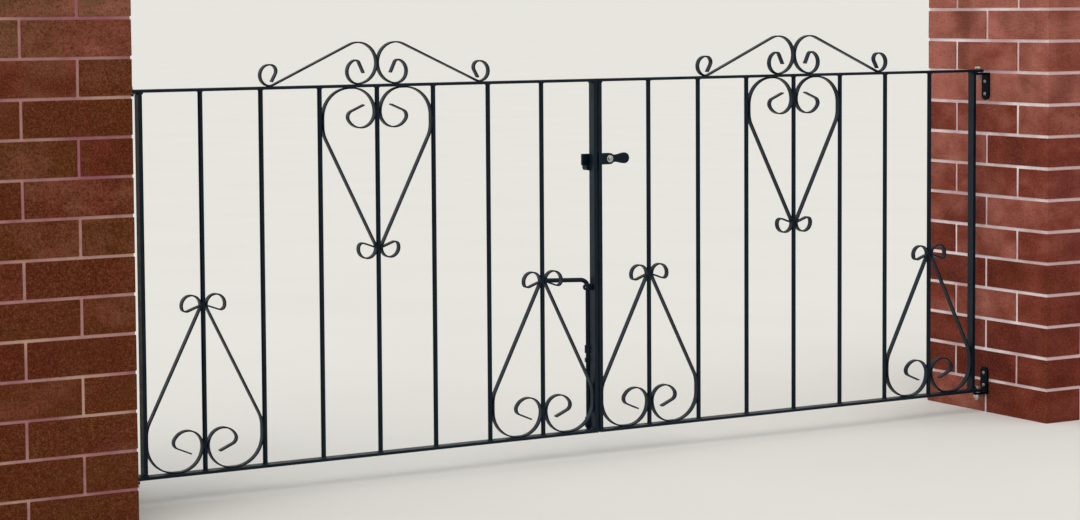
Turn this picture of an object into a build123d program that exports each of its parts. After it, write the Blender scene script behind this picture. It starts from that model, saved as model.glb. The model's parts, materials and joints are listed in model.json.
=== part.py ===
from build123d import *
import math
import os

# Millimetres. X runs along the gate from the left pier to the right one, Y away from
# the road side, Z up. The origin is the centre of the left pier's foot.

# Opening and piers
OPENING = 2286.0
PIER = 440.0
COURSE = 75.0
PIER_COURSES = 15
CAP_OVERSAIL = 30.0
CAP_EDGE = 50.0
CAP_RISE = 22.0
CAP_FLAT = 80.0

# Leaves: heights are taken from the underside of the bottom rail
LEAF_HEIGHT = 782.0
CLEARANCE = 52.0
MEETING_GAP = 5.0
LEFT_GAP = 96.0
RIGHT_GAP = 41.0
RAIL_DEPTH = 25.0
RAIL_THICK = 6.0
STILE_DEPTH = 20.0
STILE_THICK = 8.0
BAR_RADIUS = 5.0
BARS = 7

# Scroll strip, and how far it is pressed against what it is welded to
STRIP = 3.0
STRIP_DEPTH = 12.0
STRIP_BITE = 0.25

# Leaf scrolls: radii of the strip's middle line, turns in degrees
SCROLL_REACH = 338.0
SCROLL_STRAIGHT = 18.0
SCROLL_FLAT = 9.5
SCROLL_STEP = 17.8
SCROLL_CURL_TURN = 150.0
SCROLL_HOOK = 13.0
SCROLL_HOOK_TURN = 96.6
SCROLL_TAIL = 32.0
TIP_CURL = 20.5
TIP_HEADING = 283.0
TIP_HOOK = 9.5
TIP_HOOK_TURN = 97.0
TIP_TAIL = 27.0

# Finial scrolls
FINIAL_REACH = 246.0
FINIAL_LOBE = 43.0
FINIAL_CURL = 25.0
FINIAL_CURL_TURN = 160.0
FINIAL_HOOK = 9.0
FINIAL_HOOK_TURN = 85.0
FINIAL_TAIL = 24.0
FINIAL_TIP = 21.5
FINIAL_TIP_HEADING = 190.0
FINIAL_TIP_HOOK = 13.0
FINIAL_TIP_TURN = 109.0
FINIAL_TIP_TAIL = 18.0

# Hinges
HINGE_OFFSET = 16.0
BOLT_RADIUS = 5.0
RUNNING = 0.08
SEAT = 0.5
PLATE_THICK = 5.0
PLATE_WIDTH = 25.0
PLATE_LENGTH = 66.0
TAB_RADIUS = 10.0
WASHER = 1.5
HEAD_FLATS = 17.0
HEAD_HEIGHT = 6.4
NUT_HEIGHT = 8.0
THREAD_END = 11.0
POINT = 3.0
SCREW_INSET = 15.0
SCREW_PITCH = 30.0
SCREW_HOLE = 3.0

# Latch
LATCH_HEIGHT = 604.0
LEVER_THICK = 5.0
LEVER_HEIGHT = 25.0
LEVER_CLEAR = 5.0
NOSE = 15.0
PIVOT_RADIUS = 4.0
PIVOT_FROM_STILE = 33.0
SHOULDER = 18.0
NECK = 17.0
NECK_AT = 22.0
BULB = 24.0
BULB_AT = 42.0
LATCH_PLATE = 4.0
LATCH_WEB = 3.0
LATCH_PLAY = 1.0
PIVOT_WASHER_RADIUS = 8.0
PIVOT_HEAD_RADIUS = 6.0
PIVOT_HEAD = 3.5
PIVOT_NUT_RADIUS = 6.5
PIVOT_NUT = 5.5
PIVOT_SPACER_RADIUS = 7.0
SPACER_PLAY = 0.3
KEEPER_REACH = 7.0
KEEPER_STEEL = 3.0
KEEPER_DEPTH = 11.0
KEEPER_ROUND = 6.0
KEEPER_LIP = 14.0

# Drop bolt
ROD_RADIUS = 5.0
ROD_LIFT = 1.0
HANDLE_HEIGHT = 337.0
HANDLE_LENGTH = 104.0
HANDLE_BEND = 16.0
HANDLE_SWING = 25.0
GUIDE_HEIGHTS = (20.0, 183.0)
GUIDE_LENGTHS = (22.0, 17.0)
GUIDE_WALL = 2.5
GUIDE_STAND = 1.5
STOP_SIZE = 10.0
STOP_WIDTH = 6.0
STOP_REACH = 2.0
STOP_GAP = 10.5
EYE_DROP = 14.0
EYE_RADIUS = 7.0
EYE_HOLE = 3.0
EYE_THICK = 4.0
EYE_REACH = 14.0
EYE_SET = 2.0

# Spare length of a cutting tool past the faces that it goes through
THROUGH = 1.0

# What follows from them
PIER_HEIGHT = COURSE * PIER_COURSES
LEFT_FACE = PIER / 2
RIGHT_FACE = LEFT_FACE + OPENING
RIGHT_PIER = RIGHT_FACE + PIER / 2
LEAF_WIDTH = (OPENING - LEFT_GAP - RIGHT_GAP - MEETING_GAP) / 2
CLEAR_BAY = (LEAF_WIDTH - 2 * STILE_THICK - 2 * BARS * BAR_RADIUS) / (BARS + 1)
PITCH = CLEAR_BAY + 2 * BAR_RADIUS
MIDDLE_BAR = (BARS + 1) // 2
BOTTOM = CLEARANCE
BOTTOM_FACE = BOTTOM + RAIL_THICK
TOP = BOTTOM + LEAF_HEIGHT
TOP_UNDER = TOP - RAIL_THICK
STILE_BACK = STILE_DEPTH / 2


class Leaf:
    """Places along one leaf: side is +1 where the hinge is on the left, -1 on the right."""

    def __init__(self, outer, side):
        self.outer = outer
        self.side = side
        self.free = outer + side * LEAF_WIDTH
        self.axis = outer - side * HINGE_OFFSET

    def at(self, distance):
        return self.outer + self.side * distance

    def bar(self, number):
        first = STILE_THICK + CLEAR_BAY + BAR_RADIUS
        return self.at(first + (number - 1) * PITCH)


LEFT = Leaf(LEFT_FACE + LEFT_GAP, 1)
RIGHT = Leaf(RIGHT_FACE - RIGHT_GAP, -1)


def block(x0, x1, y0, y1, z0, z1):
    """A box between two corners."""
    centre = Pos((x0 + x1) / 2, (y0 + y1) / 2, (z0 + z1) / 2)
    return centre * Box(abs(x1 - x0), abs(y1 - y0), abs(z1 - z0))


def rod(x, y, z0, z1, radius):
    """An upright round bar."""
    return Pos(x, y, (z0 + z1) / 2) * Cylinder(radius, z1 - z0)


def cross_rod(x, z, y0, y1, radius):
    """A round bar that runs along Y."""
    return Pos(x, (y0 + y1) / 2, z) * Rot(90, 0, 0) * Cylinder(radius, abs(y1 - y0))


def side_rod(x0, x1, z, radius):
    """A round bar that runs along X, on the gate's middle plane."""
    return Pos((x0 + x1) / 2, 0, z) * Rot(0, 90, 0) * Cylinder(radius, abs(x1 - x0))


def hexagon(x, z, height):
    """A hinge bolt's head or nut, standing on z."""
    across = HEAD_FLATS / math.sqrt(3)
    return Pos(x, 0, z) * extrude(RegularPolygon(across, 6), amount=height)


class Ribbon:
    """A flat strip bent on edge: lines and arcs of its middle line, in (x, z)."""

    def __init__(self, x, z, heading):
        self.x = x
        self.z = z
        self.heading = heading
        self.runs = []

    def line(self, length):
        dx = math.cos(math.radians(self.heading))
        dz = math.sin(math.radians(self.heading))
        self.runs.append(("line", self.x, self.z, dx, dz, length))
        self.x += dx * length
        self.z += dz * length
        return self

    def arc(self, radius, turn):
        """Turns left for a positive angle and right for a negative one."""
        way = 1 if turn > 0 else -1
        normal = math.radians(self.heading + 90 * way)
        cx = self.x + radius * math.cos(normal)
        cz = self.z + radius * math.sin(normal)
        start = self.heading - 90 * way
        self.runs.append(("arc", cx, cz, radius, start, turn))
        end = math.radians(start + turn)
        self.x = cx + radius * math.cos(end)
        self.z = cz + radius * math.sin(end)
        self.heading += turn
        return self

    def side(self, offset, place):
        """One long edge of the strip, offset to the left of its middle line."""
        edges = []
        for run in self.runs:
            if run[0] == "line":
                _, x, z, dx, dz, length = run
                ax = x - dz * offset
                az = z + dx * offset
                edges.append(Line(place(ax, az), place(ax + dx * length, az + dz * length)))
            else:
                _, cx, cz, radius, start, turn = run
                r = radius - offset if turn > 0 else radius + offset
                stops = [math.radians(start + turn * share) for share in (0, 0.5, 1)]
                points = [place(cx + r * math.cos(a), cz + r * math.sin(a)) for a in stops]
                edges.append(ThreePointArc(*points))
        return edges

    def solid(self, place):
        left = self.side(STRIP / 2, place)
        right = self.side(-STRIP / 2, place)
        ends = [Line(left[0] @ 0, right[0] @ 0), Line(left[-1] @ 1, right[-1] @ 1)]
        outline = Wire(left + right + ends)
        return extrude(Face(outline), amount=STRIP_DEPTH / 2, dir=(0, 1, 0), both=True)


def crossing_tangent(x0, z0, r0, x1, z1, r1, way):
    """Heading and length of the line from one round to the other that crosses between them."""
    dx = x1 - x0
    dz = z1 - z0
    apart = math.hypot(dx, dz)
    lean = math.degrees(math.asin((r0 + r1) / apart))
    heading = math.degrees(math.atan2(dz, dx)) + way * lean
    return heading, math.sqrt(apart * apart - (r0 + r1) ** 2)


def leaf_scroll(place):
    """The long S scroll: foot on the rail, outer side on the next upright, tip on the bar.

    x is measured from its own bar's centre, negative towards the next upright, and
    z from the rail's face.
    """
    half = STRIP / 2
    foot = (CLEAR_BAY - STRIP) / 2 + STRIP_BITE
    lobe = CLEAR_BAY - STRIP - foot - SCROLL_FLAT
    foot_x = foot + half - CLEAR_BAY - BAR_RADIUS
    leg_z = foot + half + SCROLL_STRAIGHT
    tip_x = -(BAR_RADIUS + half + TIP_CURL)
    heading, leg = crossing_tangent(foot_x, leg_z, foot, tip_x, SCROLL_REACH, TIP_CURL, -1)
    off = math.radians(heading - 90)
    start_x = tip_x + TIP_CURL * math.cos(off)
    start_z = SCROLL_REACH + TIP_CURL * math.sin(off)
    lower = Ribbon(start_x, start_z, heading + 180)
    lower.line(leg).arc(foot, 90 - heading).line(SCROLL_STRAIGHT).arc(foot, 90)
    lower.line(SCROLL_FLAT).arc(lobe, 90).arc(lobe - SCROLL_STEP, SCROLL_CURL_TURN)
    lower.arc(SCROLL_HOOK, SCROLL_HOOK_TURN).line(SCROLL_TAIL)
    upper = Ribbon(start_x, start_z, heading)
    upper.arc(TIP_CURL, TIP_HEADING - heading).arc(TIP_HOOK, TIP_HOOK_TURN).line(TIP_TAIL)
    return lower.solid(place) + upper.solid(place)


def finial_scroll(place):
    """The low S scroll on the top rail: x from the middle bar's centre, z from the rail's top."""
    half = STRIP / 2
    lobe_x = -(half + FINIAL_LOBE)
    lobe_z = half + FINIAL_LOBE
    heading, leg = crossing_tangent(
        -FINIAL_REACH, half + FINIAL_TIP, FINIAL_TIP, lobe_x, lobe_z, FINIAL_LOBE, 1
    )
    off = math.radians(heading + 90)
    start_x = lobe_x + FINIAL_LOBE * math.cos(off)
    start_z = lobe_z + FINIAL_LOBE * math.sin(off)
    inner = Ribbon(start_x, start_z, heading)
    inner.arc(FINIAL_LOBE, -(heading + 180)).arc(FINIAL_CURL, -FINIAL_CURL_TURN)
    inner.arc(FINIAL_HOOK, -FINIAL_HOOK_TURN).line(FINIAL_TAIL)
    outer = Ribbon(start_x, start_z, heading + 180)
    outer.line(leg).arc(FINIAL_TIP, -(heading + FINIAL_TIP_HEADING))
    outer.arc(FINIAL_TIP_HOOK, -FINIAL_TIP_TURN).line(FINIAL_TIP_TAIL)
    return inner.solid(place) + outer.solid(place)


def standing(centre, mirror):
    """Places a scroll that stands on the bottom rail."""
    return lambda x, z: (centre + mirror * x, 0, BOTTOM_FACE + z)


def hanging(centre, mirror):
    """Places a scroll that hangs from the top rail."""
    return lambda x, z: (centre + mirror * x, 0, TOP_UNDER - z)


def crowning(centre, mirror):
    """Places a scroll that sits on the top rail."""
    return lambda x, z: (centre + mirror * x, 0, TOP + z)


def pair(scroll, placer, centre):
    """Two scrolls that mirror each other about a bar."""
    return Compound(children=[scroll(placer(centre, 1)), scroll(placer(centre, -1))])


def stile(leaf, near):
    """An upright of flat bar between the rails, from a distance along the leaf."""
    return block(
        leaf.at(near), leaf.at(near + STILE_THICK), -STILE_BACK, STILE_BACK, BOTTOM_FACE, TOP_UNDER
    )


def rail(leaf, z0):
    """A flat bar that runs on past the hinge stile as a rounded lug with the bolt's hole."""
    half = RAIL_DEPTH / 2
    z1 = z0 + RAIL_THICK
    body = block(leaf.axis, leaf.free, -half, half, z0, z1)
    lug = rod(leaf.axis, 0, z0, z1, half)
    hole = rod(leaf.axis, 0, z0 - THROUGH, z1 + THROUGH, BOLT_RADIUS + RUNNING)
    return body + lug - hole


def bars(leaf):
    """The round bars between the rails."""
    return Compound(
        children=[rod(leaf.bar(n), 0, BOTTOM_FACE, TOP_UNDER, BAR_RADIUS) for n in range(1, BARS + 1)]
    )


def tab_faces(lug_under):
    """Underside and top of the bracket's tab, which lies under the leaf's lug."""
    top = lug_under - WASHER - SEAT
    return top - PLATE_THICK, top


def bracket(face, axis, side, lug_under, way):
    """An angle bracket on a pier's reveal: its plate runs up (way 1) or down (way -1)."""
    low, top = tab_faces(lug_under)
    half = PLATE_WIDTH / 2
    inner = face + side * PLATE_THICK
    heel = low if way > 0 else top
    end = heel + way * (PLATE_LENGTH - half)
    far_screw = heel + way * (PLATE_LENGTH - SCREW_INSET)
    shape = block(face, inner, -half, half, heel, end) + side_rod(face, inner, end, half)
    shape += block(face, axis, -TAB_RADIUS, TAB_RADIUS, low, top) + rod(axis, 0, low, top, TAB_RADIUS)
    for z in (far_screw, far_screw - way * SCREW_PITCH):
        shape -= side_rod(face - side * THROUGH, inner + side * THROUGH, z, SCREW_HOLE)
    return shape - rod(axis, 0, low - THROUGH, top + THROUGH, BOLT_RADIUS)


def hinge_bolt(axis, lug_under, nut):
    """A bolt through the lug and the tab: head over the lug, washer between them."""
    low, top = tab_faces(lug_under)
    head_low = lug_under + RAIL_THICK + SEAT
    shape = hexagon(axis, head_low, HEAD_HEIGHT)
    shape += rod(axis, 0, low - THREAD_END, head_low, BOLT_RADIUS)
    shape += rod(axis, 0, top, top + WASHER, TAB_RADIUS)
    if nut:
        shape += hexagon(axis, low - NUT_HEIGHT, NUT_HEIGHT)
        foot = (Align.CENTER, Align.CENTER, Align.MIN)
        shape += Pos(axis, 0, low - THREAD_END - POINT) * Cone(
            BOLT_RADIUS - POINT / 2, BOLT_RADIUS, POINT, align=foot
        )
    return shape


def pier(centre):
    """A square pier without its cap."""
    half = PIER / 2
    return block(centre - half, centre + half, -half, half, 0, PIER_HEIGHT)


def cap(centre):
    """A plain weathered cap: an upright edge and a low pyramid."""
    size = PIER + 2 * CAP_OVERSAIL
    half = size / 2
    shoulder = PIER_HEIGHT + CAP_EDGE
    base = Pos(centre, 0, shoulder) * Rectangle(size, size)
    peak = Pos(centre, 0, shoulder + CAP_RISE) * Rectangle(CAP_FLAT, CAP_FLAT)
    edge = block(centre - half, centre + half, -half, half, PIER_HEIGHT, shoulder)
    return edge + loft([base.face(), peak.face()], ruled=True)


# Latch
LATCH_Z = BOTTOM + LATCH_HEIGHT
LEVER_HALF = LEVER_HEIGHT / 2
LEVER_FRONT = STILE_BACK + LEVER_CLEAR
LEVER_BACK = LEVER_FRONT + LEVER_THICK
PLATE_BACK = LEVER_FRONT - LATCH_PLAY
PLATE_FRONT = PLATE_BACK - LATCH_PLATE
STILE_SIDE = RIGHT.free + STILE_THICK
PIVOT_X = STILE_SIDE + PIVOT_FROM_STILE
CATCH_SIDE = LEFT.free - STILE_THICK


def pivot_round(y0, y1, radius):
    """A round on the lever's pivot."""
    return cross_rod(PIVOT_X, LATCH_Z, y0, y1, radius)


def latch_lever():
    """The lever: a square nose behind the stiles, a round at the pivot, a waisted handle."""
    nose_x = CATCH_SIDE - NOSE
    neck_x = PIVOT_X + NECK_AT
    bulb_x = PIVOT_X + BULB_AT
    shoulder = SHOULDER / 2
    neck = NECK / 2
    bulb = BULB / 2
    body = block(nose_x, PIVOT_X, LEVER_FRONT, LEVER_BACK, LATCH_Z - LEVER_HALF, LATCH_Z + LEVER_HALF)
    body += pivot_round(LEVER_FRONT, LEVER_BACK, LEVER_HALF)
    with BuildSketch(Plane.XZ) as handle:
        with BuildLine():
            Spline(
                (PIVOT_X, LATCH_Z + shoulder),
                (neck_x, LATCH_Z + neck),
                (bulb_x, LATCH_Z + bulb),
                tangents=((1, 0), (1, 0)),
            )
            ThreePointArc(
                (bulb_x, LATCH_Z + bulb), (bulb_x + bulb, LATCH_Z), (bulb_x, LATCH_Z - bulb)
            )
            Spline(
                (bulb_x, LATCH_Z - bulb),
                (neck_x, LATCH_Z - neck),
                (PIVOT_X, LATCH_Z - shoulder),
                tangents=((-1, 0), (-1, 0)),
            )
            Line((PIVOT_X, LATCH_Z - shoulder), (PIVOT_X, LATCH_Z + shoulder))
        make_face()
    body += Pos(0, LEVER_FRONT, 0) * extrude(handle.sketch, amount=-LEVER_THICK)
    return body - pivot_round(LEVER_FRONT - THROUGH, LEVER_BACK + THROUGH, PIVOT_RADIUS + RUNNING)


def latch_plate():
    """The plate on the right meeting stile that carries the pivot bolt."""
    low = LATCH_Z - LEVER_HALF
    high = LATCH_Z + LEVER_HALF
    plate = block(STILE_SIDE, PIVOT_X, PLATE_FRONT, PLATE_BACK, low, high)
    plate += pivot_round(PLATE_FRONT, PLATE_BACK, LEVER_HALF)
    plate += block(STILE_SIDE, STILE_SIDE + LATCH_WEB, 0, PLATE_BACK, low, high)
    return plate - pivot_round(PLATE_FRONT - THROUGH, PLATE_BACK + THROUGH, PIVOT_RADIUS)


def latch_bolt():
    """The pivot bolt: a round head and washer in front, a nut behind the lever."""
    nut_front = LEVER_BACK + SEAT
    washer_front = PLATE_FRONT - WASHER
    shape = pivot_round(washer_front - PIVOT_HEAD, nut_front + PIVOT_NUT, PIVOT_RADIUS)
    shape += pivot_round(washer_front - PIVOT_HEAD, washer_front, PIVOT_HEAD_RADIUS)
    shape += pivot_round(washer_front, PLATE_FRONT, PIVOT_WASHER_RADIUS)
    shape += pivot_round(PLATE_BACK, LEVER_FRONT - SPACER_PLAY, PIVOT_SPACER_RADIUS)
    return shape + pivot_round(nut_front, nut_front + PIVOT_NUT, PIVOT_NUT_RADIUS)


def latch_keeper():
    """The catch on the back of the left meeting stile: a rounded bar under the nose, a lip behind."""
    outer = CATCH_SIDE - KEEPER_REACH
    floor = LATCH_Z - LEVER_HALF - SEAT
    under = floor - KEEPER_DEPTH
    back = LEVER_BACK + LEVER_CLEAR
    bar = block(outer, LEFT.free, STILE_BACK, back + KEEPER_STEEL, under, floor)
    lip = block(outer, LEFT.free, back, back + KEEPER_STEEL, under, floor + KEEPER_LIP)
    catch = bar + lip
    heel = catch.edges().filter_by(Axis.Y).group_by(Axis.Z)[0].sort_by(Axis.X)[0]
    return fillet(heel, KEEPER_ROUND)


# Drop bolt
ROD_X = CATCH_SIDE
ROD_HOLE = ROD_RADIUS + RUNNING
ROD_Y = STILE_BACK + GUIDE_STAND + GUIDE_WALL + ROD_HOLE
HANDLE_Z = BOTTOM + HANDLE_HEIGHT
STOP_TOP = BOTTOM + GUIDE_HEIGHTS[1] - GUIDE_LENGTHS[1] / 2 - STOP_GAP


def drop_bolt():
    """A round rod with its top bent over as a handle, and a stop under its upper guide."""
    foot = BOTTOM + ROD_LIFT
    swing = math.radians(HANDLE_SWING)

    def along(reach, z):
        return (ROD_X - reach * math.cos(swing), ROD_Y + reach * math.sin(swing), z)

    bend_low = along(0, HANDLE_Z - HANDLE_BEND)
    bend_out = along(HANDLE_BEND, HANDLE_Z)
    inset = HANDLE_BEND * (1 - math.sqrt(0.5))
    path = Wire(
        [
            Edge.make_line(along(0, foot), bend_low),
            Edge.make_three_point_arc(bend_low, along(inset, HANDLE_Z - inset), bend_out),
            Edge.make_line(bend_out, along(HANDLE_LENGTH, HANDLE_Z)),
        ]
    )
    section = Plane(origin=along(0, foot), z_dir=(0, 0, 1)) * Circle(ROD_RADIUS)
    half = STOP_WIDTH / 2
    tip_x = ROD_X - ROD_RADIUS - STOP_REACH
    stop = block(tip_x, ROD_X, ROD_Y - half, ROD_Y + half, STOP_TOP - STOP_SIZE, STOP_TOP)
    return sweep(section, path=path) + stop


def drop_guides():
    """Two tubes welded to the back of the stile that the rod slides in."""
    shapes = []
    for height, length in zip(GUIDE_HEIGHTS, GUIDE_LENGTHS):
        z0 = BOTTOM + height - length / 2
        z1 = z0 + length
        tube = rod(ROD_X, ROD_Y, z0, z1, ROD_HOLE + GUIDE_WALL)
        tube += block(ROD_X, LEFT.free, STILE_BACK, ROD_Y, z0, z1)
        shapes.append(tube - rod(ROD_X, ROD_Y, z0 - THROUGH, z1 + THROUGH, ROD_HOLE))
    return Compound(children=shapes)


def eye_tab():
    """A small eye on the stile's side, under the drop bolt's handle."""
    centre_x = CATCH_SIDE - EYE_REACH
    z = HANDLE_Z - EYE_DROP
    back = EYE_SET + EYE_THICK
    tab = block(centre_x, CATCH_SIDE, EYE_SET, back, z - EYE_RADIUS, z + EYE_RADIUS)
    tab += cross_rod(centre_x, z, EYE_SET, back, EYE_RADIUS)
    return tab - cross_rod(centre_x, z, EYE_SET - THROUGH, back + THROUGH, EYE_HOLE)


PARTS = {
    "left_pier": pier(0),
    "right_pier": pier(RIGHT_PIER),
    "left_pier_cap": cap(0),
    "right_pier_cap": cap(RIGHT_PIER),
    "latch_lever": latch_lever(),
    "latch_plate": latch_plate(),
    "latch_bolt": latch_bolt(),
    "latch_keeper": latch_keeper(),
    "drop_bolt": drop_bolt(),
    "drop_bolt_guides": drop_guides(),
    "drop_bolt_eye": eye_tab(),
}
for name, leaf, face in (("left", LEFT, LEFT_FACE), ("right", RIGHT, RIGHT_FACE)):
    PARTS[name + "_hinge_stile"] = stile(leaf, 0)
    PARTS[name + "_meeting_stile"] = stile(leaf, LEAF_WIDTH - STILE_THICK)
    PARTS[name + "_top_rail"] = rail(leaf, TOP_UNDER)
    PARTS[name + "_bottom_rail"] = rail(leaf, BOTTOM)
    PARTS[name + "_bars"] = bars(leaf)
    PARTS[name + "_heart_scrolls"] = pair(leaf_scroll, hanging, leaf.bar(MIDDLE_BAR))
    PARTS[name + "_hinge_foot_scrolls"] = pair(leaf_scroll, standing, leaf.bar(1))
    PARTS[name + "_meeting_foot_scrolls"] = pair(leaf_scroll, standing, leaf.bar(BARS))
    PARTS[name + "_finial_scrolls"] = pair(finial_scroll, crowning, leaf.bar(MIDDLE_BAR))
    PARTS[name + "_top_hinge_bracket"] = bracket(face, leaf.axis, leaf.side, TOP_UNDER, -1)
    PARTS[name + "_bottom_hinge_bracket"] = bracket(face, leaf.axis, leaf.side, BOTTOM, 1)
    PARTS[name + "_top_hinge_bolt"] = hinge_bolt(leaf.axis, TOP_UNDER, False)
    PARTS[name + "_bottom_hinge_bolt"] = hinge_bolt(leaf.axis, BOTTOM, True)

os.makedirs("parts", exist_ok=True)
for name, shape in PARTS.items():
    shape.label = name
    export_step(shape, os.path.join("parts", name + ".step"))
print(len(PARTS), "parts")
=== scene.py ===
"""Looks of the wrought iron driveway gate: brick piers, painted leaves, zinc fixings and a studio."""

import json
import logging
import math
import random
from dataclasses import astuple, dataclass
from enum import Enum
from typing import Iterable, Optional, Protocol, Sequence

import bmesh
import bpy
from bmesh.types import BMEdge, BMesh, BMFace, BMVert
from bpy.types import ID, Material, Mesh, NodeOutputs, Object
from mathutils import Euler, Matrix, Vector, noise

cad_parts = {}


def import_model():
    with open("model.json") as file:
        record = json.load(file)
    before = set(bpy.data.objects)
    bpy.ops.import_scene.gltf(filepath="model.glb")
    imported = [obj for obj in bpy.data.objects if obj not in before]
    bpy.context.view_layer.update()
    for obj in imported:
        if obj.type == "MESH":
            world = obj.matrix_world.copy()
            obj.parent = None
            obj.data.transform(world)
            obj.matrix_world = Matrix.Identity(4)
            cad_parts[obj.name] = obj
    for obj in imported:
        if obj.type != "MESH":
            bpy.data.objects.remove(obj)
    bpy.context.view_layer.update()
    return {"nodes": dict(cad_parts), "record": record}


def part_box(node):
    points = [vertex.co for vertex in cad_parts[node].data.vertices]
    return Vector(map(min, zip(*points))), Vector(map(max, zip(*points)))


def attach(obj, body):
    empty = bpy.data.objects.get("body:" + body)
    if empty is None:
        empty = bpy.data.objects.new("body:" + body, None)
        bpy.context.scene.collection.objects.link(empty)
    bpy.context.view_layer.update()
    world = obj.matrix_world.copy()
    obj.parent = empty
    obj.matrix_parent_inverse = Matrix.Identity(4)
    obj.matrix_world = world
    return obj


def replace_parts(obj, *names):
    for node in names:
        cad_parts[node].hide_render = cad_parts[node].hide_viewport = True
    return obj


LOG = logging.getLogger("driveway_gate")
MM = 0.001
TOUCH = 0.01 * MM
MERGE = 0.001 * MM

Colour = tuple[float, float, float]
Point = tuple[float, float, float]
Socket = bpy.types.NodeSocket
Inputs = dict[str | int, object]


class Body(Enum):
    """The bodies that pieces ride on."""

    PIERS = "piers"
    LEFT_LEAF = "left_leaf"
    RIGHT_LEAF = "right_leaf"


class Slot(Enum):
    """The record's material slots."""

    PAINT = "black_paint"
    ZINC = "zinc"
    BRICK = "brick"
    STONE = "cap_stone"


class Side(Enum):
    """The two sides of the gate, as seen from the front."""

    LEFT = "left"
    RIGHT = "right"

    @property
    def hand(self) -> int:
        """+1 where the hinge is on the left of the leaf and -1 where it is on the right."""
        return 1 if self is Side.LEFT else -1


class Level(Enum):
    """The two hinges of a leaf."""

    TOP = "top"
    BOTTOM = "bottom"

    @property
    def way(self) -> int:
        """The way that its bracket reaches along the pier: -1 for down and +1 for up."""
        return 1 if self is Level.BOTTOM else -1


class Axis(Enum):
    """Directions that beads, bolts and faces follow."""

    X = (1.0, 0.0, 0.0)
    Y = (0.0, 1.0, 0.0)
    Z = (0.0, 0.0, 1.0)

    @property
    def vector(self) -> Vector:
        """The direction as a vector."""
        return Vector(self.value)


@dataclass(frozen=True)
class Levels:
    """Two levels of a value, and what it gives at each of them and beyond."""

    low: float
    high: float
    bottom: float = 0.0
    top: float = 1.0


@dataclass(frozen=True)
class Grain:
    """Noise: its cells in a metre, its octaves, its levels and its stretch along each axis."""

    scale: float
    detail: float
    levels: Optional[Levels] = None
    stretch: Point = (1.0, 1.0, 1.0)


# The product of a softened normal and the real one, from a flat face to a sharp edge.
EDGE = Levels(0.995, 0.86)
# The part of a face's normal along Y, from a face that looks aside to one that looks to the front.
FRONT = Levels(-0.5, -0.9)
# The Mix node has sockets for each kind of value, and these are the ones for colours.
MIX_INPUTS = (0, 6, 7)
MIX_OUTPUT = 2


class Tree:
    """The nodes of a material or a world, with short calls that add and join them."""

    def __init__(self, owner: ID) -> None:
        """Starts with no nodes.

        Args:
            owner: The material or the world.
        """
        owner.use_nodes = True
        self.tree = owner.node_tree
        self.tree.nodes.clear()

    def add(self, kind: str, inputs: Optional[Inputs] = None, **settings: object) -> NodeOutputs:
        """Adds a node.

        Args:
            kind: Its type's name, after the word ShaderNode.
            inputs: A socket, a number or a colour for each input, by its name or number.
            **settings: The node's own settings.

        Returns:
            Its outputs.
        """
        node = self.tree.nodes.new(f"ShaderNode{kind}")
        for name, value in settings.items():
            setattr(node, name, value)
        for name, value in (inputs or {}).items():
            if isinstance(value, Socket):
                self.tree.links.new(value, node.inputs[name])
            else:
                socket = node.inputs[name]
                socket.default_value = (*value, 1.0) if socket.type == "RGBA" else value
        return node.outputs

    def sums(self, kind: str, *values: object) -> Socket:
        """The result of a Math operation on sockets and numbers."""
        return self.add("Math", dict(enumerate(values)), operation=kind)["Value"]


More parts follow.
